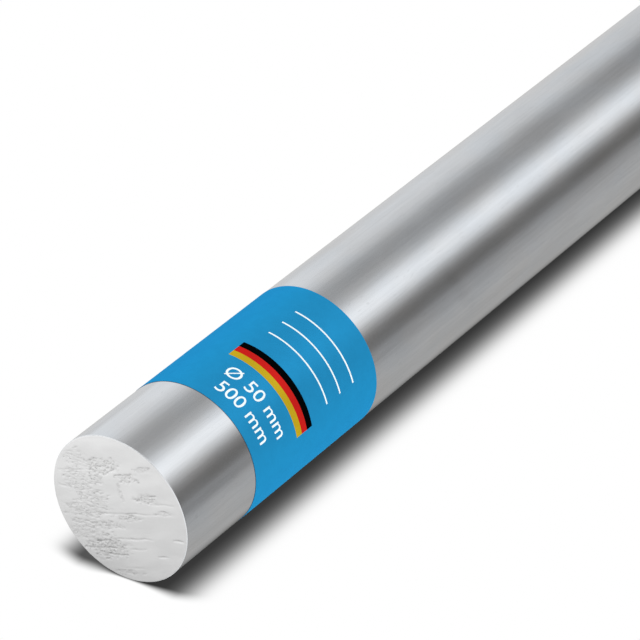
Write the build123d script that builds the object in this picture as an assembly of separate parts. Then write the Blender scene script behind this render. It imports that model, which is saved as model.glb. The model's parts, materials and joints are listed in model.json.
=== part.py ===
from build123d import *

import os
from math import cos, pi, radians, sin

# A round aluminium bar, sawn to length, with a printed film label wrapped round it near one end.
# Millimetres, +Z up. The bar lies along Y with its labelled end at -Y, and the origin is on the
# floor under the middle of its length. Angles round the bar run from the top toward +X.

# The bar
bar_diameter = 50.0
bar_length = 500.0
edge_break = 0.5  # 45 degree break on both sawn edges

# The label: one turn of film, its outer end lapped over its inner end
film_thickness = 0.1
label_width = 64.0  # along the bar
label_offset = 34.5  # from the labelled end to the label's near edge
lap_length = 8.0  # round the bar, where the film lies double
ramp_length = 1.5  # round the bar, where the outer layer climbs onto the inner end
outer_end_angle = -68.0  # where the outer layer stops

bar_radius = bar_diameter / 2
single_radius = bar_radius + film_thickness
double_radius = bar_radius + 2 * film_thickness

# The lowest thing on the bar is the film, so the film sets the height of the axis.
axis_height = single_radius

# Local +Z of this plane runs from the rear end toward the labelled end, local +Y is up.
rear_plane = Plane(origin=(0, bar_length / 2, axis_height), x_dir=(1, 0, 0), z_dir=(0, -1, 0))


def around(radius, angle):
    """The point of the cross-section at this radius and angle."""
    return (radius * sin(radians(angle)), radius * cos(radians(angle)))


def arc_around(radius, start_angle, end_angle):
    """The arc about the bar's axis from one angle to a larger one."""
    middle_angle = (start_angle + end_angle) / 2
    return ThreePointArc(
        around(radius, start_angle), around(radius, middle_angle), around(radius, end_angle)
    )


def angle_of(length):
    """The angle that this length takes up round the bar, in degrees."""
    return 360 * length / (pi * bar_diameter)


def round_bar():
    """The bar itself: a plain round with both sawn edges broken."""
    blank = extrude(rear_plane * Circle(bar_radius), amount=bar_length)
    sawn_edges = blank.edges().filter_by(GeomType.CIRCLE)
    return chamfer(sawn_edges, edge_break)


def film_outline():
    """The film's outside: a single layer, a ramp, the double layer, and the outer end's step."""
    inner_end_angle = outer_end_angle + 360 - angle_of(lap_length)
    ramp_angle = inner_end_angle - angle_of(ramp_length)
    next_outer_end_angle = outer_end_angle + 360
    return [
        arc_around(single_radius, outer_end_angle, ramp_angle),
        Line(around(single_radius, ramp_angle), around(double_radius, inner_end_angle)),
        arc_around(double_radius, inner_end_angle, next_outer_end_angle),
        Line(around(double_radius, outer_end_angle), around(single_radius, outer_end_angle)),
    ]


def label_wrap():
    """The film, as one closed ring of its real thickness."""
    section = make_face(film_outline()) - Circle(bar_radius)
    distance_from_rear = bar_length - label_offset - label_width
    return extrude(rear_plane * Pos(0, 0, distance_from_rear) * section, amount=label_width)


os.makedirs("parts", exist_ok=True)
export_step(round_bar(), "parts/round_bar.step")
export_step(label_wrap(), "parts/label_wrap.step")
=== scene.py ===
import json
import math

import bmesh
import bpy
from bpy.props import FloatProperty, FloatVectorProperty, IntProperty, PointerProperty, StringProperty
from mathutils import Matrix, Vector, noise


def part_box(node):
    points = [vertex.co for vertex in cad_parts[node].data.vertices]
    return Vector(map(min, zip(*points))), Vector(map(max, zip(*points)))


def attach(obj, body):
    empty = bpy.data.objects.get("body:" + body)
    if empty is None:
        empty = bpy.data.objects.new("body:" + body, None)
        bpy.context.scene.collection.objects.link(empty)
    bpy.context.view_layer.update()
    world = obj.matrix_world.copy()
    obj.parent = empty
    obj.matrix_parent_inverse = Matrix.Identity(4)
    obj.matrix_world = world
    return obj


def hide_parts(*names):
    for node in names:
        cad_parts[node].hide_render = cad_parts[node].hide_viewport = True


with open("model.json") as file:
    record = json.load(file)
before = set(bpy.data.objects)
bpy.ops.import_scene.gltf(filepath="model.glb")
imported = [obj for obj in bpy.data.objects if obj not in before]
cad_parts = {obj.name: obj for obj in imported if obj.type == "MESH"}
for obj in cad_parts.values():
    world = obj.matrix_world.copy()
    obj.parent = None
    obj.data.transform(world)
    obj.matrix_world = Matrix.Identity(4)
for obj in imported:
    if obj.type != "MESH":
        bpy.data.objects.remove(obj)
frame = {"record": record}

# The visible surfaces of a round aluminium bar with a printed film wrapped round it near one end.
# Metres, +Z up. The bar lies along Y with its labelled end at -Y. Angles round the bar start at
# the top and grow toward +X.

bl_info = {
    "name": "Round bar with film label",
    "version": (1, 0, 0),
    "blender": (4, 5, 0),
    "location": "3D View > Sidebar > Round bar",
    "description": "Builds a sawn round bar, the printed film wrapped round it, and a plain stage",
    "category": "Add Mesh",
}

MM = 0.001
WHITE = (1.0, 1.0, 1.0)
MERGE_DISTANCE = 0.0001 * MM  # points closer than this are one point
FRONT, REAR = -1.0, 1.0  # which end: the labelled one at -Y, or the plain one at +Y
DRAWN, SAWN, FILED = range(3)  # places of the bar's materials
# The last of the film's materials is painted shade, for its cut edges and the line along its outer end.
GOLD, RED, BLACK, SHADED_FILM_EDGE = range(1, 5)  # places of the film's materials, after the plain blue
STRIPES = (GOLD, RED, BLACK)  # from the film's near edge

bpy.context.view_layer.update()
BAR_LOW, BAR_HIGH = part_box("round_bar")
FILM_LOW, FILM_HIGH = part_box("label_wrap")
OUTSIDE = {mount["name"]: mount for mount in frame["record"]["mounts"]}["outside_diameter"]
BAR_RADIUS = OUTSIDE["dims"]["r_mm"] * MM
AXIS_HEIGHT = OUTSIDE["pos_m"][2]


# --- Sizes and colours that a user may change ---

def a_length(name, description, default):
    """A length in metres."""
    return FloatProperty(name=name, description=description, default=default,
                         subtype="DISTANCE", unit="LENGTH", precision=5)


def an_angle(name, description, degrees):
    """An angle, kept in radians."""
    return FloatProperty(name=name, description=description, default=math.radians(degrees),
                         subtype="ANGLE", unit="ROTATION")


def a_count(name, description, default, least):
    """A whole number."""
    return IntProperty(name=name, description=description, default=default, min=least)


def a_strength(name, description, default):
    """A brightness, as a share of plain white."""
    return FloatProperty(name=name, description=description, default=default, min=0.0)


def a_colour(name, description, default):
    """A colour without alpha."""
    return FloatVectorProperty(name=name, description=description, default=default,
                               subtype="COLOR", size=3, min=0.0, max=1.0)


class BarSettings(bpy.types.PropertyGroup):
    """The drawn bar and its sawn ends"""
    radius: a_length("Radius", "Radius of the drawn side", BAR_RADIUS)
    length: a_length("Length", "Length between the sawn ends", BAR_HIGH.y - BAR_LOW.y)
    axis_height: a_length("Axis height", "Height of the bar's axis over the floor", AXIS_HEIGHT)
    edge_break: a_length("Edge break", "Width of the filed break on both sawn edges", 0.21 * MM)
    burr: a_length("Burr", "How far the filed edge wanders in and out", 0.05 * MM)
    face_cells: a_count("Face cells", "Mesh cells across each sawn face", 196, 8)
    wall_rings: a_count("Wall rings", "Mesh rings along the drawn side", 6, 1)
    saw_angle: an_angle("Saw angle", "Slope of the saw's marks across the end face", 21.0)
    ridge_depth: a_length("Ridge depth", "Depth of the saw's long ridges", 0.02 * MM)
    tear_depth: a_length("Tear depth", "Depth of the torn, smeared patches", 0.30 * MM)
    groove_depth: a_length("Groove depth", "Depth of the long grooves", 0.17 * MM)
    drawn_colour: a_colour("Drawn side", "Colour of the drawn side", (0.852, 0.870, 0.893))
    sawn_colour: a_colour("Sawn face", "Colour of the sawn faces", (0.51, 0.51, 0.51))


class FilmSettings(bpy.types.PropertyGroup):
    """The film and its printed colours"""
    near_edge: a_length("Near edge", "From the labelled end to the film", FILM_LOW.y - BAR_LOW.y)
    width: a_length("Width", "Width of the film along the bar", FILM_HIGH.y - FILM_LOW.y)
    thickness: a_length("Thickness", "Thickness of the film", AXIS_HEIGHT - BAR_RADIUS)
    lap: a_length("Lap", "How far the outer end lies over the inner end", 8 * MM)
    ramp: a_length("Ramp", "Length over which the outer layer climbs", 1.5 * MM)
    outer_end: an_angle("Outer end", "Where the outer layer stops", -68.0)
    cells_round: a_count("Cells round", "Mesh cells round the bar", 336, 24)
    art_middle: an_angle("Print middle", "Middle of the print round the bar", 40.75)
    art_slant: an_angle("Print slant", "How far the print stands askew on the film", 1.0)
    # Painted shade: a dark line along the film's outer end, where it lies over the inner layer
    seam: a_length("Seam", "Width of the dark line along the outer end", 0.3 * MM)
    stripe_start: a_length("Stripe start", "From the film's near edge to the band", 21.2 * MM)
    stripe_width: a_length("Stripe width", "Width of each of the three stripes", 2.65 * MM)
    stripe_length: a_length("Stripe length", "Length of the band round the bar", 35.8 * MM)
    field_colour: a_colour("Field", "Printed ground colour", (0.0215, 0.303, 0.605))
    black: a_colour("Black stripe", "Stripe farthest from the end", (0.0012, 0.0015, 0.0018))
    red: a_colour("Red stripe", "Middle stripe", (0.660, 0.0190, 0.0160))
    gold: a_colour("Gold stripe", "Stripe nearest the end", (0.625, 0.432, 0.019))


class PrintSettings(bpy.types.PropertyGroup):
    """The white print on the film"""
    first_line: StringProperty(name="First line", default="Ø 50 mm", description="The bar's diameter")
    second_line: StringProperty(name="Second line", default="500 mm", description="The bar's length")
    letter_height: a_length("Letter height", "Height of the figures", 5.0 * MM)
    first_middle: a_length("First middle", "From the near edge to the first line", 14.8 * MM)
    second_middle: a_length("Second middle", "From the near edge to the second line", 7.4 * MM)
    rule_start: a_length("Rule start", "From the film's near edge to the first rule", 38.0 * MM)
    rule_gap: a_length("Rule gap", "From one blank rule to the next", 7.0 * MM)
    rule_count: a_count("Rules", "Blank rules to write on", 3, 0)
    rule_length: a_length("Rule length", "Length of a blank rule", 30 * MM)
    rule_width: a_length("Rule width", "Width of a blank rule", 0.60 * MM)
    ink: a_length("Ink", "Thickness of the ink", 0.015 * MM)
    colour: a_colour("Ink colour", "Colour of the figures and rules", (0.89, 0.98, 1.0))


class StageSettings(bpy.types.PropertyGroup):
    """Camera, floor and lights"""
    azimuth: an_angle("Azimuth", "Camera's direction round the bar, from -Y toward +X", 35.12)
    elevation: an_angle("Elevation", "Camera's height over the horizon", 33.6)
    distance: a_length("Distance", "From the camera to the labelled end's plane", 1.1944)
    aim_right: a_length("Aim right", "Right of the labelled end", 59.56 * MM)
    aim_up: a_length("Aim up", "Above the labelled end", 56.32 * MM)
    lens: FloatProperty(name="Lens", default=225.8, description="Focal length in millimetres")
    floor_size: a_length("Floor size", "Width of the floor", 40.0)
    sky_left: a_strength("Sky, left", "Brightness of the soft light from the left", 1.39)
    sky_right: a_strength("Sky, right", "Brightness of the soft light from the right", 0.84)
    floor_left: a_strength("Floor, left", "Brightness of the light off the floor, left", 1.08)
    floor_right: a_strength("Floor, right", "Brightness of the light off the floor, right", 1.54)
    lamp_power: FloatProperty(name="Lamp power", default=0.58, subtype="POWER", unit="POWER",
                              description="Power of the small lamp at each end")


class RoundBarSettings(bpy.types.PropertyGroup):
    """All the settings, by operator"""
    bar: PointerProperty(type=BarSettings, name="Bar", description="The drawn bar")
    film: PointerProperty(type=FilmSettings, name="Film", description="The printed film")
    print: PointerProperty(type=PrintSettings, name="Print", description="The white print")
    stage: PointerProperty(type=StageSettings, name="Stage", description="Floor, lights and camera")


# --- Node helpers ---

def feed(tree, value, socket):
    """Links an output socket to this input, or sets the input to a number or colour."""
    if isinstance(value, bpy.types.NodeSocket):
        tree.links.new(value, socket)
    elif socket.type == "RGBA":
        socket.default_value = (*value, 1.0)
    else:
        socket.default_value = value


def new_node(tree, kind, inputs, **options):
    """A new node with these options, its inputs fed by name or by number."""
    node = tree.nodes.new(kind)
    for name, option in options.items():
        setattr(node, name, option)
    for name, value in inputs.items():
        feed(tree, value, node.inputs[name])
    return node


def calc(tree, operation, first, second=0.0, third=0.0, clamp=False):
    """The output of a Math node on these numbers or sockets."""
    inputs = {0: first, 1: second, 2: third}
    node = new_node(tree, "ShaderNodeMath", inputs, operation=operation, use_clamp=clamp)
    return node.outputs["Value"]


def apart(tree, first, second):
    """How far two numbers lie apart."""
    return calc(tree, "ABSOLUTE", calc(tree, "SUBTRACT", first, second))


def ease(tree, value, low, high, to_low=0.0, to_high=1.0):
    """A smooth step from to_low to to_high as the value goes from low to high."""
    ends = {"Value": value, "From Min": low, "From Max": high, "To Min": to_low, "To Max": to_high}
    return new_node(tree, "ShaderNodeMapRange", ends, interpolation_type="SMOOTHSTEP").outputs["Result"]


def noise_at(tree, coordinates, scale, stretch=(1.0, 1.0, 1.0), detail=2.0, roughness=0.5, shift=0.0):
    """Noise of this many lumps a metre, stretched along the axes by a Mapping node."""
    placed = {"Vector": coordinates, "Scale": stretch, "Location": (shift, shift, shift)}
    vector = new_node(tree, "ShaderNodeMapping", placed).outputs["Vector"]
    wanted = {"Vector": vector, "Scale": scale, "Detail": detail, "Roughness": roughness}
    return new_node(tree, "ShaderNodeTexNoise", wanted).outputs["Fac"]


def blend_colours(tree, share, first, second):
    """The first colour where the share is 0 and the second where it is 1."""
    node = tree.nodes.new("ShaderNodeMix")
    node.data_type = "RGBA"
    feed(tree, share, node.inputs["Factor"])
    a, b = [s for s in node.inputs if s.type == "RGBA"]
    feed(tree, first, a)
    feed(tree, second, b)
    return [s for s in node.outputs if s.type == "RGBA"][0]


def bump_of(tree, height, distance, strength=1.0):
    """A Bump node's normal for this height."""
    inputs = {"Height": height, "Distance": distance, "Strength": strength}
    return new_node(tree, "ShaderNodeBump", inputs).outputs["Normal"]


def new_material(name):
    """A material with an empty Principled shader, as (material, tree, shader)."""
    material = bpy.data.materials.new(name)
    material.use_nodes = True
    tree = material.node_tree
    return material, tree, tree.nodes["Principled BSDF"]


def object_place(tree):
    """The place on the piece, in the piece's own coordinates."""
    return tree.nodes.new("ShaderNodeTexCoord").outputs["Object"]


def axes_of(tree, vector):
    """The X, Y and Z of a vector."""
    return new_node(tree, "ShaderNodeSeparateXYZ", {"Vector": vector}).outputs


def scaled(colour, factor, warmth=0.0):
    """The colour made lighter or darker by a factor, and warmer or cooler by a share."""
    tints = (1.0 + warmth, 1.0, 1.0 - warmth)
    return tuple(min(1.0, part * factor * tint) for part, tint in zip(colour, tints))


# --- Materials ---

def thin_lines(tree, coordinates, scale, stretch, width, shift):
    """1 on a few thin wandering lines and 0 elsewhere: where stretched noise crosses its middle."""
    field = noise_at(tree, coordinates, scale, stretch, detail=1.0, shift=shift)
    sparse = noise_at(tree, coordinates, scale * 0.7, detail=1.0, shift=shift + 9.0)
    on_line = ease(tree, apart(tree, field, 0.5), 0.0, width, 1.0, 0.0)
    return calc(tree, "MULTIPLY", on_line, ease(tree, sparse, 0.56, 0.64))


def smudge_past_film(tree, place, cloud, streaks, settings):
    """A faint ragged smudge that slants round the drawn side past the film: 1 at its middle."""
    middle_round = math.radians(70)
    middle_along = -settings.length / 2 + 146.5 * MM
    slant = -12.6 * MM  # along the bar for each radian round it
    raggedness = 12 * MM
    x, y, z = axes_of(tree, place)
    turn = calc(tree, "ARCTAN2", x, calc(tree, "SUBTRACT", z, settings.axis_height))
    turned = calc(tree, "SUBTRACT", turn, middle_round)
    off = calc(tree, "MULTIPLY_ADD", turned, slant, calc(tree, "SUBTRACT", y, middle_along))
    off = calc(tree, "MULTIPLY_ADD", calc(tree, "SUBTRACT", cloud, 0.5), raggedness, off)
    share = calc(tree, "MULTIPLY", ease(tree, calc(tree, "ABSOLUTE", off), 0.3 * MM, 5 * MM, 1.0, 0.0),
                 ease(tree, calc(tree, "ABSOLUTE", turned), 0.1, 0.6, 1.0, 0.0))
    return calc(tree, "MULTIPLY", share, ease(tree, streaks, 0.30, 0.62, 1.0, 0.3))


def drawn_aluminium(settings, shade_line_at):
    """The bar's side: bright metal with faint lengthwise die lines, specks and handling marks.

    A thin dark line of painted shade runs round it at the given place along Y, where the film begins.
    """
    material, tree, shader = new_material("drawn_aluminium")
    colour = settings.drawn_colour
    place = object_place(tree)
    lines = noise_at(tree, place, 700.0, stretch=(1.0, 0.01, 1.0))
    cloud = noise_at(tree, place, 55.0, stretch=(1.0, 0.5, 1.0), detail=3.0, shift=3.0)
    grain = noise_at(tree, place, 1000.0, stretch=(1.0, 0.09, 1.0), shift=21.0)
    ripple = noise_at(tree, place, 500.0, stretch=(1.0, 0.08, 1.0), shift=27.0)
    hue = noise_at(tree, place, 80.0, stretch=(1.0, 0.6, 1.0), detail=1.0, shift=33.0)
    dots = noise_at(tree, place, 1400.0, stretch=(1.0, 0.25, 1.0), detail=0.0, shift=6.0)
    scratches = thin_lines(tree, place, 60.0, stretch=(1.0, 0.012, 1.0), width=0.003, shift=14.0)

    # Streaks, lighter and darker, with a slow drift between a cooler and a warmer grey
    streaks = calc(tree, "MULTIPLY_ADD", lines, 0.27, calc(tree, "MULTIPLY", cloud, 0.52))
    streaks = calc(tree, "MULTIPLY_ADD", grain, 0.21, streaks)
    tint = ease(tree, hue, 0.35, 0.65)
    cool = scaled(colour, 1.0, -0.008)
    warm = scaled(colour, 1.0, 0.008)
    metal = blend_colours(tree, ease(tree, streaks, 0.35, 0.65),
                          blend_colours(tree, tint, scaled(cool, 0.94), scaled(warm, 0.94)),
                          blend_colours(tree, tint, scaled(cool, 1.035), scaled(warm, 1.035)))

    # Marks of handling over them
    specks = ease(tree, dots, 0.74, 0.80)
    marks = calc(tree, "MULTIPLY", calc(tree, "ADD", specks, scratches, clamp=True), 0.3)
    marked = blend_colours(tree, marks, metal, scaled(colour, 0.86))
    smudge = smudge_past_film(tree, place, cloud, streaks, settings)
    marked = blend_colours(tree, calc(tree, "MULTIPLY", smudge, 0.5), marked, scaled(colour, 0.80))
    # Painted shade: a thin dark line round the side, along the film's near edge
    along = axes_of(tree, place)[1]
    shade_line = ease(tree, apart(tree, along, shade_line_at), 0.12 * MM, 0.32 * MM, 0.75, 0.0)
    feed(tree, blend_colours(tree, shade_line, marked, scaled(colour, 0.30)), shader.inputs["Base Color"])

    rough = ease(tree, cloud, 0.3, 0.7, 0.19, 0.22)
    feed(tree, calc(tree, "MULTIPLY_ADD", marks, 0.10, rough), shader.inputs["Roughness"])
    shader.inputs["Metallic"].default_value = 1.0
    height = calc(tree, "MULTIPLY_ADD", lines, 0.12, ripple)
    feed(tree, bump_of(tree, height, 0.005 * MM), shader.inputs["Normal"])
    return material


def attribute(tree, name):
    """The number that the mesh holds under this name."""
    return new_node(tree, "ShaderNodeAttribute", {}, attribute_name=name).outputs["Fac"]


def sawn_aluminium(settings):
    """The sawn faces: matt pale metal with crumbs where it is torn, and painted shade in its pits, fine
    cracks and hollows.
    """
    material, tree, shader = new_material("sawn_aluminium")
    colour = settings.sawn_colour
    inputs = {"Vector": object_place(tree), "Angle": settings.saw_angle}
    place = new_node(tree, "ShaderNodeVectorRotate", inputs, rotation_type="Y_AXIS").outputs["Vector"]
    torn = attribute(tree, "torn")
    grain = noise_at(tree, place, 2600.0, stretch=(0.4, 1.0, 1.0), detail=3.0, roughness=0.6)
    cloud = noise_at(tree, place, 190.0, stretch=(0.4, 1.0, 1.0), detail=3.0, shift=5.0)
    crumbs = noise_at(tree, place, 1500.0, stretch=(0.5, 1.0, 1.0), roughness=0.7, shift=8.0)
    holes = noise_at(tree, place, 2000.0, stretch=(0.5, 1.0, 1.0), roughness=0.6, shift=11.0)
    cracks = thin_lines(tree, place, 800.0, stretch=(0.45, 1.0, 1.0), width=0.05, shift=17.0)

    # Painted shade: dark spots in pits and dark lines along cracks where the face is torn, and a darker tone
    # in its hollows
    pits = ease(tree, holes, 0.61, 0.70)
    pit_and_crack_shade = calc(tree, "MAXIMUM", pits, calc(tree, "MULTIPLY", cracks, 0.8))
    pit_and_crack_shade = calc(tree, "MULTIPLY", pit_and_crack_shade, torn)
    ground = blend_colours(tree, ease(tree, cloud, 0.3, 0.7), scaled(colour, 0.955, -0.003),
                           scaled(colour, 1.045, -0.003))
    shaded_in_hollows = blend_colours(tree, attribute(tree, "hollow"), ground, scaled(colour, 0.86))
    feed(tree, blend_colours(tree, pit_and_crack_shade, shaded_in_hollows, scaled(colour, 0.56)),
         shader.inputs["Base Color"])

    shader.inputs["Metallic"].default_value = 0.35
    feed(tree, ease(tree, grain, 0.3, 0.7, 0.44, 0.56), shader.inputs["Roughness"])
    height = calc(tree, "MULTIPLY_ADD", grain, 0.12, calc(tree, "MULTIPLY", crumbs, torn))
    feed(tree, bump_of(tree, height, 0.10 * MM, strength=0.8), shader.inputs["Normal"])
    return material


def filed_aluminium(settings):
    """The narrow break filed along a sawn edge, with a painted highlight low on the right and painted shade
    elsewhere.
    """
    material, tree, shader = new_material("filed_aluminium")
    colour, radius = settings.drawn_colour, settings.radius
    place = object_place(tree)
    nicks = noise_at(tree, place, 1500.0)
    x, _, z = axes_of(tree, place)
    low = calc(tree, "SUBTRACT", settings.axis_height, z)
    side = calc(tree, "MULTIPLY_ADD", low, 0.18, x)
    # Painted highlight low on the right of the edge; the rest is darker, painted shade with faint nicks
    painted_highlight = calc(tree, "MAXIMUM", ease(tree, side, 0.3 * radius, 0.95 * radius),
                 ease(tree, low, 0.1 * radius, 0.4 * radius, 0.0, 0.5))
    nicked_and_shaded = blend_colours(tree, ease(tree, nicks, 0.35, 0.6), scaled(colour, 0.38), scaled(colour, 0.46))
    feed(tree, blend_colours(tree, painted_highlight, nicked_and_shaded, scaled(colour, 0.80)), shader.inputs["Base Color"])
    shader.inputs["Metallic"].default_value = 0.25
    feed(tree, ease(tree, nicks, 0.3, 0.7, 0.35, 0.5), shader.inputs["Roughness"])
    return material


def printed_film(name, colour, sheen=0.32):
    """Satin film printed in one colour, faintly mottled, with a little of the metal's shine."""
    material, tree, shader = new_material(name)
    place = object_place(tree)
    mottle = noise_at(tree, place, 260.0, detail=4.0, roughness=0.65)
    fine = noise_at(tree, place, 2400.0, shift=2.0)
    printed = blend_colours(tree, ease(tree, mottle, 0.35, 0.65), scaled(colour, 0.98), scaled(colour, 1.02))
    feed(tree, printed, shader.inputs["Base Color"])
    feed(tree, ease(tree, fine, 0.3, 0.7, 0.33, 0.41), shader.inputs["Roughness"])
    shader.inputs["Metallic"].default_value = sheen
    shader.inputs["Specular IOR Level"].default_value = 0.0
    feed(tree, colour, shader.inputs["Specular Tint"])
    feed(tree, bump_of(tree, mottle, 0.01 * MM, strength=0.3), shader.inputs["Normal"])
    return material


# --- Mesh helpers ---

def new_object(name, data):
    """A new object in the scene."""
    made = bpy.data.objects.new(name, data)
    bpy.context.scene.collection.objects.link(made)
    return made


def finished_mesh(name, bm, materials):
    """Turns a bmesh into a mesh with these materials."""
    mesh = bpy.data.meshes.new(name)
    bm.to_mesh(mesh)
    bm.free()
    for material in materials:
        mesh.materials.append(material)
    return mesh


def new_piece(name, bm, materials):
    """Turns a bmesh into a smooth-shaded piece that rides on the part."""
    for face in bm.faces:
        face.smooth = True
    piece = new_object(name, finished_mesh(name, bm, materials))
    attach(piece, "root")
    return piece


def disc_point(u, v, radius):
    """Where a point of the square from -1 to 1 goes on a disc, evenly spaced round its rim."""
    if u == 0.0 and v == 0.0:
        return 0.0, 0.0
    if abs(u) >= abs(v):
        reach, turn = u, math.pi / 4 * v / u
    else:
        reach, turn = v, math.pi / 2 - math.pi / 4 * u / v
    return radius * reach * math.cos(turn), radius * reach * math.sin(turn)


def smooth_step(low, high, value):
    """0 below low, 1 above high, and smooth between."""
    share = min(1.0, max(0.0, (value - low) / (high - low)))
    return share * share * (3.0 - 2.0 * share)


# --- The bar ---

# Torn patches on a sawn face, as shares of the radius: middle across and up, half length along
# the saw's travel, and half height over it. The last number is how strongly the patch is torn.
TORN_PATCHES = (
    (-0.66, 0.48, 0.22, 0.15, 0.65), (-0.28, 0.52, 0.33, 0.13, 1.1), (-0.62, 0.15, 0.28, 0.20, 0.75),
    (-0.41, 0.00, 0.28, 0.14, 0.8), (-0.48, -0.20, 0.42, 0.14, 0.85), (-0.22, -0.33, 0.30, 0.07, 1.0),
    (-0.21, -0.64, 0.38, 0.20, 1.15), (-0.50, -0.50, 0.30, 0.20, 0.8), (0.39, 0.31, 0.23, 0.075, 1.1),
    (0.65, 0.20, 0.18, 0.04, 1.0), (0.14, -0.07, 0.20, 0.07, 1.1), (0.12, 0.50, 0.20, 0.08, 1.1),
    (0.36, 0.72, 0.18, 0.04, 1.0), (0.02, 0.24, 0.04, 0.15, 0.8), (-0.36, 0.30, 0.14, 0.09, 0.95),
    (0.10, -0.90, 0.30, 0.045, 0.7),
)
# Long grooves: where each starts across and up, and its length, as shares of the radius, and its
# depth as a share of the usual depth.
LONG_GROOVES = (
    (-0.08, -0.47, 0.62, 1.2), (-0.36, -0.21, 0.93, 1.0), (0.79, -0.14, 0.17, 2.2),
    (0.13, -0.54, 0.30, 0.9), (0.56, -0.47, 0.18, 1.3), (-0.94, 0.20, 0.46, 1.0),
    (-0.92, -0.03, 0.20, 1.0), (0.45, 0.25, 0.40, 0.8), (-0.46, -0.66, 0.50, 0.9),
    (-0.40, -0.74, 0.55, 1.1), (-0.30, -0.80, 0.45, 0.8), (0.02, -0.86, 0.36, 0.5),
)


def along_saw(across, up, settings):
    """(travel, step): a place on a sawn face along and over the saw's marks."""
    cosine, sine = math.cos(settings.saw_angle), math.sin(settings.saw_angle)
    return across * cosine + up * sine, up * cosine - across * sine


def lumps(travel, step, length, height, shift):
    """Noise in lumps of this length along the saw's marks and height over them, in millimetres."""
    return noise.noise((travel / (length * MM), step / (height * MM), shift))


def torn_share(travel, step, settings, seed):
    """How torn the sawn face is here: 0 where it is whole, and about 1 inside a ragged patch."""
    ragged = lumps(travel, step, 2.6, 1.3, seed) + 0.5 * lumps(travel, step, 1.1, 0.6, seed + 3.0)
    most = 0.0
    for across, up, half_length, half_height, strength in TORN_PATCHES:
        middle = along_saw(across * settings.radius, up * settings.radius, settings)
        reach = ((travel - middle[0]) / half_length) ** 2 + ((step - middle[1]) / half_height) ** 2
        inside = 1.0 - reach / settings.radius ** 2
        most = max(most, strength * smooth_step(-0.1, 0.7, inside + 0.9 * ragged))
    return most


def groove_share(travel, step, settings, seed):
    """How deep in a long groove this place lies, as a share of the usual depth."""
    half_width = 0.32 * MM
    wander = 0.35 * MM * lumps(travel, 0.0, 4.0, 1.0, seed)
    deepest = 0.0
    for across, up, length, depth in LONG_GROOVES:
        start, level = along_saw(across * settings.radius, up * settings.radius, settings)
        share = (travel - start) / (length * settings.radius)
        if not 0.0 < share < 1.0:
            continue
        off = (step - level - wander) / half_width
        uneven = 0.8 + 0.8 * lumps(travel, level, 1.6, 0.3, seed + 23.0)
        fade = math.sin(math.pi * share) ** 0.5 * uneven
        deepest = max(deepest, depth * fade * math.exp(-off * off))
    return deepest


def flakes(travel, step, seed):
    """Smeared flakes lying over one another: terraced noise, from about -1 to 1."""
    terraces = 3.0
    flow = lumps(travel, step, 1.7, 1.0, seed + 13.0)
    flow += 0.7 * lumps(travel, step, 0.8, 0.52, seed + 19.0)
    whole = math.floor(flow * terraces)
    return (whole + smooth_step(0.25, 0.75, flow * terraces - whole)) / terraces


def chips(travel, step, seed):
    """Small chips broken out of the sawn face, from 0 to 1."""
    field = lumps(travel, step, 1.9, 0.7, seed + 31.0)
    field += 0.6 * lumps(travel, step, 0.8, 0.4, seed + 37.0)
    return smooth_step(0.06, 0.40, field)


def saw_marks(across, up, settings, seed):
    """(depth, how torn, how hollow) of the sawn face here, with the hollowness from 0 to 1."""
    travel, step = along_saw(across, up, settings)
    torn = torn_share(travel, step, settings, seed)
    groove = groove_share(travel, step, settings, seed)
    ridge = lumps(travel, step, 14.0, 0.9, seed + 7.0)
    tear = torn * (0.40 + 0.30 * flakes(travel, step, seed) + 0.50 * chips(travel, step, seed))
    depth = settings.ridge_depth * (0.5 - 0.5 * ridge)
    depth += settings.tear_depth * tear + settings.groove_depth * groove
    return max(0.0, depth), torn, min(1.0, max(0.0, tear) + 0.5 * groove)


def ring_to(bm, rim, settings, end, inset, radius, tremble=0.0):
    """Extrudes an open rim to a ring of this radius, this far in from the end."""
    unevenness = 9.0  # how quickly the ring wanders in and out, going round it
    made = bmesh.ops.extrude_edge_only(bm, edges=rim)["geom"]
    for vert in (item for item in made if isinstance(item, bmesh.types.BMVert)):
        out = Vector((vert.co.x, vert.co.z - settings.axis_height)).normalized()
        wander = 0.5 + 0.5 * noise.noise((out.x * unevenness, out.y * unevenness, end * 3.0))
        wander *= tremble
        vert.co = Vector((
            out.x * (radius - wander),
            end * (settings.length / 2 - inset - wander),
            settings.axis_height + out.y * (radius - wander),
        ))
    return [item for item in made if isinstance(item, bmesh.types.BMEdge) and item.is_boundary]


def sawn_end(bm, settings, end, seed):
    """One end: the sawn face and the rounded break filed round it. Returns the open rim."""
    break_steps = 4
    smooth_rim = 0.97  # the saw's marks fade out from this share of the flat's radius
    torn_layer = bm.verts.layers.float["torn"]
    hollow_layer = bm.verts.layers.float["hollow"]
    cells = settings.face_cells
    flat_radius = settings.radius - settings.edge_break
    square = bmesh.ops.create_grid(bm, x_segments=cells, y_segments=cells, size=1.0)["verts"]
    for vert in square:
        across, up = disc_point(vert.co.x, vert.co.y, flat_radius)
        marked = smooth_step(1.0, smooth_rim, math.hypot(across, up) / flat_radius)
        depth, torn, hollow = saw_marks(across, up, settings, seed)
        vert[torn_layer] = torn * marked
        vert[hollow_layer] = hollow * marked
        vert.co = Vector((across, end * (settings.length / 2 - depth * marked),
                          settings.axis_height + up))
    faces = {face for vert in square for face in vert.link_faces}
    for face in faces:
        face.material_index = SAWN
    rim = list({edge for face in faces for edge in face.edges if edge.is_boundary})
    before = set(bm.faces)
    for count in range(1, break_steps + 1):
        turn = math.pi / 2 * count / break_steps
        inset = settings.edge_break * (1.0 - math.cos(turn))
        radius = flat_radius + settings.edge_break * math.sin(turn)
        rim = ring_to(bm, rim, settings, end, inset, radius, settings.burr * math.sin(turn * 2.0))
    for face in set(bm.faces) - before:
        face.material_index = FILED
    return rim


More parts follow.
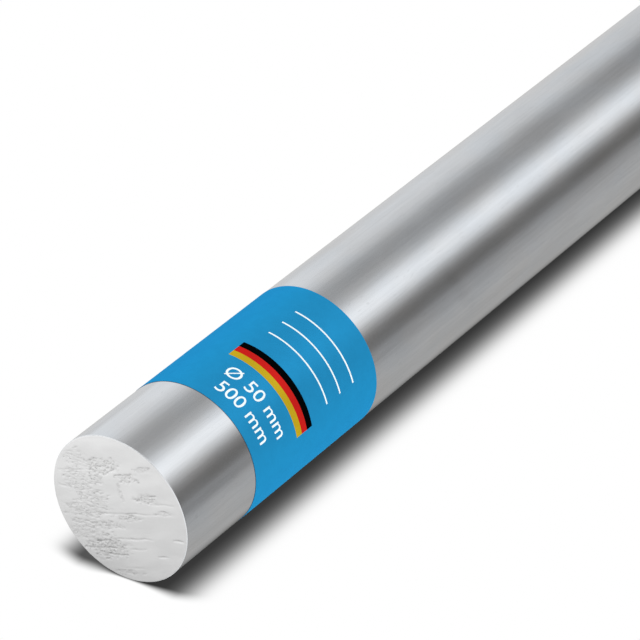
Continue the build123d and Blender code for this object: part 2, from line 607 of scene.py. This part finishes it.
def build_bar(settings):
    """The bar as one closed mesh: two sawn ends joined by the drawn side."""
    support = 0.4 * MM  # width of the first ring of the side, which keeps the filed edge crisp
    bm = bmesh.new()
    for name in ("torn", "hollow"):
        bm.verts.layers.float.new(name)
    rear_rim = sawn_end(bm, settings, REAR, seed=40.0)
    front_rim = sawn_end(bm, settings, FRONT, seed=4.0)
    ends = set(bm.faces)
    side_start = settings.edge_break + support
    rear_rim = ring_to(bm, rear_rim, settings, REAR, side_start, settings.radius)
    for ring in range(settings.wall_rings):
        inset = side_start + ring * settings.length / settings.wall_rings
        front_rim = ring_to(bm, front_rim, settings, FRONT, inset, settings.radius)
    bmesh.ops.bridge_loops(bm, edges=front_rim + rear_rim)
    for face in set(bm.faces) - ends:
        face.material_index = DRAWN
    bmesh.ops.remove_doubles(bm, verts=bm.verts, dist=MERGE_DISTANCE)
    bmesh.ops.recalc_face_normals(bm, faces=bm.faces)
    return bm


# --- The film ---

def film_whole(film, bar):
    """Length of the film: once round the bar, and the lap."""
    return 2 * math.pi * (bar.radius + film.thickness) + film.lap


def film_radius(along, film, bar):
    """Radius of the film's inner side, this far along it from the inner end."""
    climb_end = film_whole(film, bar) - film.lap
    return bar.radius + film.thickness * smooth_step(climb_end - film.ramp, climb_end, along)


def cut_across(bm, place, direction):
    """Cuts every face of a flat sheet along the line through a place, square to a direction."""
    geometry = list(bm.verts) + list(bm.edges) + list(bm.faces)
    bmesh.ops.bisect_plane(bm, geom=geometry, dist=MERGE_DISTANCE, plane_co=place, plane_no=direction)


def print_place(film, bar):
    """Length along the film, from its inner end, to the middle of the print."""
    turn = (film.art_middle - film.outer_end) % (2 * math.pi)
    return turn * (bar.radius + film.thickness) + film.lap


def askew(along, film, middle):
    """How far the print has strayed across the film, this far along it."""
    return math.tan(film.art_slant) * (along - middle)


def flat_film(film, bar):
    """The film laid out flat, cut along its stripes and along the painted shade line at its outer end.

    X goes along it from its inner end, and Y across it from its near edge.
    """
    whole = film_whole(film, bar)
    middle = print_place(film, bar)
    bm = bmesh.new()
    bmesh.ops.create_grid(bm, x_segments=film.cells_round, y_segments=4, size=0.5)
    bmesh.ops.scale(bm, vec=(whole, film.width, 1.0), verts=bm.verts)
    bmesh.ops.translate(bm, vec=(whole / 2, film.width / 2, 0.0), verts=bm.verts)
    for place in (middle - film.stripe_length / 2, middle + film.stripe_length / 2, whole - film.seam):
        cut_across(bm, (place, 0.0, 0.0), (1.0, 0.0, 0.0))
    over_stripes = (-math.sin(film.art_slant), math.cos(film.art_slant), 0.0)
    for count in range(len(STRIPES) + 1):
        cut_across(bm, (middle, film.stripe_start + count * film.stripe_width, 0.0), over_stripes)
    return bm


def colour_film(bm, film, bar):
    """Gives each stripe, and the painted shade line along the outer end, its own material."""
    middle = print_place(film, bar)
    for face in bm.faces:
        centre = face.calc_center_median()
        # Painted shade: the faces along the outer end take the darker edge material
        if centre.x > film_whole(film, bar) - film.seam:
            face.material_index = SHADED_FILM_EDGE
        if abs(centre.x - middle) > film.stripe_length / 2:
            continue
        across = centre.y - askew(centre.x, film, middle)
        stripe = math.floor((across - film.stripe_start) / film.stripe_width)
        if 0 <= stripe < len(STRIPES):
            face.material_index = STRIPES[stripe]


def roll(bm, film, bar, lift=0.0):
    """Rolls a flat sheet round the bar. Z on the sheet becomes height over the film's inner side."""
    start = -bar.length / 2 + film.near_edge
    for vert in bm.verts:
        along, across, height = vert.co
        angle = film.outer_end + (along - film.lap) / (bar.radius + film.thickness)
        radius = film_radius(along, film, bar) + height + lift
        vert.co = Vector((
            radius * math.sin(angle),
            start + across,
            bar.axis_height + radius * math.cos(angle),
        ))


def build_film(film, bar):
    """The wrapped film, one closed skin of its real thickness."""
    sharp = math.radians(40)
    bm = flat_film(film, bar)
    colour_film(bm, film, bar)
    bmesh.ops.solidify(bm, geom=list(bm.faces), thickness=-film.thickness)
    low = min(vert.co.z for vert in bm.verts)
    bmesh.ops.translate(bm, vec=(0.0, 0.0, -low), verts=bm.verts)
    for face in bm.faces:
        face.normal_update()
        # Painted shade: the film's cut edges take the darker edge material
        if abs(face.normal.z) < 0.5:
            face.material_index = SHADED_FILM_EDGE
    roll(bm, film, bar)
    bmesh.ops.remove_doubles(bm, verts=bm.verts, dist=MERGE_DISTANCE)
    bmesh.ops.recalc_face_normals(bm, faces=bm.faces)
    for edge in bm.edges:
        if len(edge.link_faces) == 2 and edge.calc_face_angle(0.0) > sharp:
            edge.smooth = False
    return bm


# --- The white print ---

def add_line(bm, text, place, settings):
    """Adds a line of text as flat faces, centred on a place, its figures letter_height tall."""
    curve = bpy.data.curves.new("line", "FONT")
    curve.body = text
    curve.resolution_u = 6
    curve.offset = 0.003  # makes the strokes a little bolder
    words = new_object("line", curve)
    bpy.context.view_layer.update()
    mesh = bpy.data.meshes.new_from_object(words.evaluated_get(bpy.context.evaluated_depsgraph_get()))
    before = set(bm.verts)
    bm.from_mesh(mesh)
    bpy.data.objects.remove(words)
    bpy.data.meshes.remove(mesh)
    new = [vert for vert in bm.verts if vert not in before]
    high = max(vert.co.y for vert in new)
    left = min(vert.co.x for vert in new)
    right = max(vert.co.x for vert in new)
    size = settings.letter_height / high
    bmesh.ops.translate(bm, vec=(-(left + right) / 2, -high / 2, 0.0), verts=new)
    bmesh.ops.scale(bm, vec=(size, size, size), verts=new)
    bmesh.ops.translate(bm, vec=place, verts=new)


def build_print(settings, film, bar):
    """The white size marks and the blank rules, as ink of a real thickness on the film."""
    strip = 0.5 * MM  # width of the strips that let the flat print follow the bar
    margin = 5 * MM  # how far the strips go past the rules
    bm = bmesh.new()
    middle = print_place(film, bar)
    add_line(bm, settings.first_line, (middle, settings.first_middle, 0.0), settings)
    add_line(bm, settings.second_line, (middle, settings.second_middle, 0.0), settings)
    for count in range(settings.rule_count):
        rule = bmesh.ops.create_grid(bm, x_segments=1, y_segments=1, size=0.5)["verts"]
        bmesh.ops.scale(bm, vec=(settings.rule_length, settings.rule_width, 1.0), verts=rule)
        across = settings.rule_start + count * settings.rule_gap
        bmesh.ops.translate(bm, vec=(middle, across, 0.0), verts=rule)
    half = settings.rule_length / 2 + margin
    for count in range(int(2 * half / strip) + 1):
        cut_across(bm, (middle - half + count * strip, 0.0, 0.0), (1.0, 0.0, 0.0))
    for vert in bm.verts:
        vert.co.y += askew(vert.co.x, film, middle)
    bmesh.ops.recalc_face_normals(bm, faces=bm.faces)
    raised = bmesh.ops.extrude_face_region(bm, geom=list(bm.faces))["geom"]
    tops = [item for item in raised if isinstance(item, bmesh.types.BMVert)]
    bmesh.ops.translate(bm, vec=(0.0, 0.0, settings.ink), verts=tops)
    roll(bm, film, bar, lift=film.thickness)
    bmesh.ops.recalc_face_normals(bm, faces=bm.faces)
    return bm


# --- The stage ---

# What bright metal sees round the bar: angle in degrees, brightness, and warmth.
STUDIO_BANDS = (
    (-180, 0.50, 0.0), (-100, 0.66, -0.015), (-60, 0.64, -0.015), (-45, 0.57, -0.01), (-30, 0.33, 0.0),
    (-12, 0.28, 0.0), (2, 0.34, 0.0), (14, 0.55, -0.01), (26, 0.86, -0.02), (39, 0.92, -0.02),
    (48, 0.67, -0.01), (59, 0.295, 0.02), (69, 0.155, 0.04), (79, 0.113, 0.04), (90, 0.195, 0.02),
    (102, 0.30, 0.0), (180, 0.42, 0.0),
)
# The floor's brightness beside the bar, by distance from the line under its axis, in radii.
SHADOW_TONES = ((0.0, 0.02), (0.54, 0.038), (0.64, 0.071), (0.73, 0.14), (0.83, 0.33), (0.93, 0.60),
                (1.03, 0.86), (1.13, 0.98), (1.23, 1.0))
# How bright the surroundings are that the labelled end mirrors on its left, as a share of the rest.
DIMMED = 0.73


def tone_ramp(tree, share, stops):
    """A soft Color Ramp, from (place, level, warmth) stops with places from 0 to 1."""
    node = tree.nodes.new("ShaderNodeValToRGB")
    node.color_ramp.interpolation = "B_SPLINE"
    elements = node.color_ramp.elements
    while len(elements) < len(stops):
        elements.new(0.5)
    for element, (place, level, warmth) in zip(elements, stops):
        element.position = place
        element.color = (level * (1.0 + warmth), level, level * (1.0 - warmth), 1.0)
    feed(tree, share, node.inputs["Fac"])
    return node.outputs["Color"]


def bands_round_bar(tree, x, z):
    """The studio's bands, by the angle of a direction round the bar's axis."""
    turn = calc(tree, "ARCTAN2", x, z)
    share = calc(tree, "MULTIPLY_ADD", turn, 1.0 / (2 * math.pi), 0.5)
    stops = [((angle + 180) / 360, level, warmth) for angle, level, warmth in STUDIO_BANDS]
    return tone_ramp(tree, share, stops)


def changed_by(tree, value, change):
    """The value made larger by a share of itself."""
    return calc(tree, "MULTIPLY", value, calc(tree, "ADD", change, 1.0))


def dimmed_to(tree, value, kept):
    """The value where kept is 1, and only the DIMMED share of it where kept is 0."""
    return calc(tree, "MULTIPLY", value, calc(tree, "MULTIPLY_ADD", kept, 1.0 - DIMMED, DIMMED))


def mixed(tree, share, first, second):
    """The first shader where the share is 0 and the second where it is 1."""
    return new_node(tree, "ShaderNodeMixShader", {0: share, 1: first, 2: second}).outputs["Shader"]


def glow(tree, kind, colour, strength=1.0):
    """A Background or Emission shader of this colour and strength."""
    return new_node(tree, kind, {"Color": colour, "Strength": strength}).outputs[0]


def by_ray(tree, matt, shiny, seen):
    """One shader for the light on matt surfaces, one for mirroring or clear ones, one for the camera."""
    ray = tree.nodes.new("ShaderNodeLightPath")
    bright = calc(tree, "MAXIMUM", ray.outputs["Is Glossy Ray"], ray.outputs["Is Transmission Ray"])
    return mixed(tree, ray.outputs["Is Camera Ray"], mixed(tree, bright, matt, shiny), seen)


def band_strength(tree, x, y, z):
    """How strongly the bands shine in a direction.

    The camera sees the labelled end mirror directions whose Y is about 0.64, and the other end
    those whose Y is about 0.73.
    """
    strength = ease(tree, y, 0.62, 0.76, 1.17, 0.98)
    kept = calc(tree, "MAXIMUM", ease(tree, y, 0.64, 0.69), ease(tree, z, 0.0, 0.2))
    kept = calc(tree, "MAXIMUM", kept, ease(tree, x, 0.2, 0.4, 1.0, 0.0))
    strength = dimmed_to(tree, strength, kept)
    on_left = calc(tree, "MULTIPLY", ease(tree, x, -0.05, 0.15, 1.0, 0.0),
                   ease(tree, y, 0.63, 0.75, 0.09, -0.05))
    return changed_by(tree, strength, on_left)


def build_world(settings):
    """Even white light for matt surfaces, and soft bands for bright metal to reflect."""
    world = bpy.data.worlds.new("studio")
    world.use_nodes = True
    tree = world.node_tree
    tree.nodes.clear()
    x, y, z = axes_of(tree, tree.nodes.new("ShaderNodeTexCoord").outputs["Generated"])
    kind = "ShaderNodeBackground"
    matt = glow(tree, kind, ease(tree, x, -1.0, 1.0, settings.sky_left, settings.sky_right))
    shiny = glow(tree, kind, bands_round_bar(tree, x, z), band_strength(tree, x, y, z))
    surface = by_ray(tree, matt, shiny, glow(tree, kind, WHITE))
    new_node(tree, "ShaderNodeOutputWorld", {"Surface": surface})
    world.cycles.sampling_method = "NONE"
    bpy.context.scene.world = world


def shadow_tone(tree, x, y, bar, narrower=0.0):
    """1 on the open floor, and dark under the bar, by the floor's own X and Y."""
    radius = bar.radius
    # Across the bar, the tone follows SHADOW_TONES, a little nearer in toward the plain end.
    ramp_reach = 1.5
    taper = 0.0048
    trim = narrower + 0.035
    stops = [(place / ramp_reach, level, 0.0) for place, level in SHADOW_TONES]
    across = calc(tree, "MULTIPLY_ADD", y, taper, calc(tree, "ABSOLUTE", x))
    share = calc(tree, "MULTIPLY_ADD", across, 1.0 / (ramp_reach * radius), trim / ramp_reach)
    tone = calc(tree, "MAXIMUM", tone_ramp(tree, share, stops), ease(tree, x, -0.4 * radius, 0.0, 0.09, 0.0))
    # Along the bar, it starts at a line a little outside each end that slants, rounds off at both
    # corners, and is soft at the sides and crisp where the bar touches the floor.
    behind = calc(tree, "SUBTRACT", bar.length / 2, calc(tree, "ABSOLUTE", y))
    behind = calc(tree, "MULTIPLY_ADD", x, -0.095, calc(tree, "ADD", behind, 0.006 * radius))
    off_middle = apart(tree, x, 0.075 * radius)
    corner = calc(tree, "MAXIMUM", calc(tree, "SUBTRACT", off_middle, 0.675 * radius), 0.0)
    behind = calc(tree, "MULTIPLY_ADD", corner, -0.27, behind)
    softness = calc(tree, "ADD", ease(tree, x, -0.45 * radius, 0.0, 0.8, 0.0),
                    ease(tree, x, 0.1 * radius, 0.9 * radius, 0.2, 1.0))
    under = ease(tree, calc(tree, "DIVIDE", behind, softness), -0.13 * radius, 0.12 * radius)
    lost = calc(tree, "MULTIPLY", under, calc(tree, "SUBTRACT", 1.0, tone))
    return calc(tree, "SUBTRACT", 1.0, lost)


def mirrored_floor(tree, x, y, bar):
    """The floor that bright metal sees: grey, dimmer beside the labelled end, and warmer near the bar."""
    radius = bar.radius
    far = calc(tree, "DIVIDE", x, calc(tree, "ADD", calc(tree, "ABSOLUTE", x), 5 * radius))
    right = calc(tree, "MULTIPLY_ADD", far, -0.21, 0.435)
    level = ease(tree, x, -radius, 0.0, 0.64, right)
    kept = calc(tree, "MAXIMUM", ease(tree, y, -0.06, 0.02), ease(tree, x, 0.08, 0.17, 1.0, 0.0))
    level = dimmed_to(tree, level, kept)
    brighter = calc(tree, "MULTIPLY", ease(tree, x, 1.2 * radius, 1.8 * radius),
                    ease(tree, x, 3.0 * radius, 6.5 * radius, 0.08, 0.0))
    level = changed_by(tree, level, brighter)
    beside = calc(tree, "MAXIMUM", x, calc(tree, "MULTIPLY", x, -0.5))
    warmer = ease(tree, beside, 1.4 * radius, 2.6 * radius, 1.0, 0.0)
    colour = blend_colours(tree, warmer, WHITE, (1.0, 0.985, 0.965))
    level = calc(tree, "MULTIPLY", level, shadow_tone(tree, x, y, bar, narrower=0.22))
    return glow(tree, "ShaderNodeEmission", colour, level)


def lighting_floor(tree, x, y, settings, bar):
    """The floor that lights matt surfaces: dimmer just in front of each end, at its foot."""
    radius = bar.radius
    level = ease(tree, x, -radius, radius, settings.floor_left, settings.floor_right)
    outside = calc(tree, "SUBTRACT", calc(tree, "ABSOLUTE", y), bar.length / 2)
    foot = calc(tree, "MAXIMUM", ease(tree, outside, 0.0, 1.6 * radius, 0.5, 1.0),
                ease(tree, outside, -0.2 * radius, 0.0, 1.0, 0.0))
    beside = ease(tree, calc(tree, "ABSOLUTE", x), 0.6 * radius, 2.0 * radius)
    foot = calc(tree, "MAXIMUM", foot, beside)
    return glow(tree, "ShaderNodeEmission", calc(tree, "MULTIPLY", level, foot))


def floor_material(settings, bar):
    """A white floor that keeps the bar's soft contact shadow, and a greyer one for metal to see."""
    material = bpy.data.materials.new("floor")
    material.use_nodes = True
    tree = material.node_tree
    tree.nodes.clear()
    x, y, _ = axes_of(tree, object_place(tree))
    surface = by_ray(tree, lighting_floor(tree, x, y, settings, bar), mirrored_floor(tree, x, y, bar),
                     glow(tree, "ShaderNodeEmission", shadow_tone(tree, x, y, bar)))
    new_node(tree, "ShaderNodeOutputMaterial", {"Surface": surface})
    material.cycles.emission_sampling = "NONE"
    return material


def build_floor(settings, bar):
    """A plain flat floor, lit by its own material."""
    bm = bmesh.new()
    bmesh.ops.create_grid(bm, x_segments=1, y_segments=1, size=settings.floor_size / 2)
    floor = new_object("floor", finished_mesh("floor", bm, [floor_material(settings, bar)]))


def build_lamps(settings, bar):
    """Small lamps that skim the sawn faces from above and the side. They light the bar alone."""
    lamp_size = 0.06
    left, ahead, above = 0.07, 0.10, 0.17  # from the middle of the face that a lamp lights
    lit = bpy.data.collections.new("lit_by_end_lamps")
    lit.objects.link(bpy.data.objects["bar"])
    for name, end in (("front_lamp", FRONT), ("rear_lamp", REAR)):
        light = bpy.data.lights.new(name, "AREA")
        light.shape = "SQUARE"
        light.size = lamp_size
        light.energy = settings.lamp_power
        lamp = new_object(name, light)
        aim = Vector((0.0, end * bar.length / 2, bar.axis_height))
        lamp.location = aim + Vector((-left, end * ahead, above))
        lamp.rotation_euler = (aim - lamp.location).to_track_quat("-Z", "Y").to_euler()
        lamp.visible_glossy = False
        lamp.visible_camera = False
        lamp.light_linking.receiver_collection = lit


def build_camera(settings, bar):
    """A long lens, aimed up and right of the labelled end so that the bar leaves the view."""
    turn, rise = settings.azimuth, settings.elevation
    back = Vector((math.sin(turn) * math.cos(rise), -math.cos(turn) * math.cos(rise), math.sin(rise)))
    right = Vector((math.cos(turn), math.sin(turn), 0.0))
    up = back.cross(right)
    end_centre = Vector((0.0, -bar.length / 2, bar.axis_height))
    aim = end_centre + right * settings.aim_right + up * settings.aim_up
    camera = new_object("camera", bpy.data.cameras.new("camera"))
    camera.data.lens = settings.lens
    camera.data.clip_start = 0.05
    camera.data.clip_end = 100.0
    camera.location = aim + back * settings.distance
    camera.rotation_euler = back.to_track_quat("Z", "Y").to_euler()
    bpy.context.scene.camera = camera


# --- Operators, panel and registration ---

class ROUNDBAR_OT_bar(bpy.types.Operator):
    """Builds the bar, with its sawn ends"""
    bl_idname = "round_bar.bar"
    bl_label = "Round bar"

    def execute(self, context):
        bar = context.scene.round_bar.bar
        film_start = -bar.length / 2 + context.scene.round_bar.film.near_edge
        materials = [drawn_aluminium(bar, film_start), sawn_aluminium(bar), filed_aluminium(bar)]
        piece = new_piece("bar", build_bar(bar), materials)
        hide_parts("round_bar")
        return {"FINISHED"}


class ROUNDBAR_OT_film(bpy.types.Operator):
    """Builds the printed film wrapped round the bar"""
    bl_idname = "round_bar.film"
    bl_label = "Label film"

    def execute(self, context):
        film = context.scene.round_bar.film
        materials = [
            printed_film("blue_film", film.field_colour),
            printed_film("gold_film", film.gold),
            printed_film("red_film", film.red),
            printed_film("black_film", film.black, sheen=0.0),
            # Painted shade: half as bright as the field, for the cut edges and the line along the outer end
            printed_film("film_edge_shade", scaled(film.field_colour, 0.5), sheen=0.0),
        ]
        piece = new_piece("label_film", build_film(film, context.scene.round_bar.bar),
                          materials)
        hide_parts("label_wrap")
        return {"FINISHED"}


class ROUNDBAR_OT_print(bpy.types.Operator):
    """Prints the size mark and the blank rules on the film"""
    bl_idname = "round_bar.print"
    bl_label = "White print"

    def execute(self, context):
        every = context.scene.round_bar
        materials = [printed_film("white_ink", every.print.colour, sheen=0.0)]
        new_piece("size_print", build_print(every.print, every.film, every.bar),
                  materials)
        return {"FINISHED"}


class ROUNDBAR_OT_stage(bpy.types.Operator):
    """Builds the floor, the lights and the camera"""
    bl_idname = "round_bar.stage"
    bl_label = "Stage"

    def execute(self, context):
        every = context.scene.round_bar
        build_world(every.stage)
        build_floor(every.stage, every.bar)
        build_lamps(every.stage, every.bar)
        build_camera(every.stage, every.bar)
        context.scene.view_settings.view_transform = "Standard"
        return {"FINISHED"}


OPERATORS = (ROUNDBAR_OT_bar, ROUNDBAR_OT_film, ROUNDBAR_OT_print, ROUNDBAR_OT_stage)


class ROUNDBAR_PT_panel(bpy.types.Panel):
    """The operators and their sizes and colours"""
    bl_idname = "ROUNDBAR_PT_panel"
    bl_label = "Round bar"
    bl_space_type = "VIEW_3D"
    bl_region_type = "UI"
    bl_category = "Round bar"

    def draw(self, context):
        every = context.scene.round_bar
        for operator, group in zip(OPERATORS, (every.bar, every.film, every.print, every.stage)):
            box = self.layout.box()
            box.operator(operator.bl_idname)
            for name in group.__annotations__:
                box.prop(group, name)


CLASSES = (BarSettings, FilmSettings, PrintSettings, StageSettings, RoundBarSettings,
           *OPERATORS, ROUNDBAR_PT_panel)


def register():
    for cls in CLASSES:
        bpy.utils.register_class(cls)
    bpy.types.Scene.round_bar = PointerProperty(type=RoundBarSettings)


def unregister():
    del bpy.types.Scene.round_bar
    for cls in reversed(CLASSES):
        bpy.utils.unregister_class(cls)


def main():
    register()
    bpy.ops.round_bar.bar()
    bpy.ops.round_bar.film()
    bpy.ops.round_bar.print()
    bpy.ops.round_bar.stage()


if __name__ == "__main__":
    main()
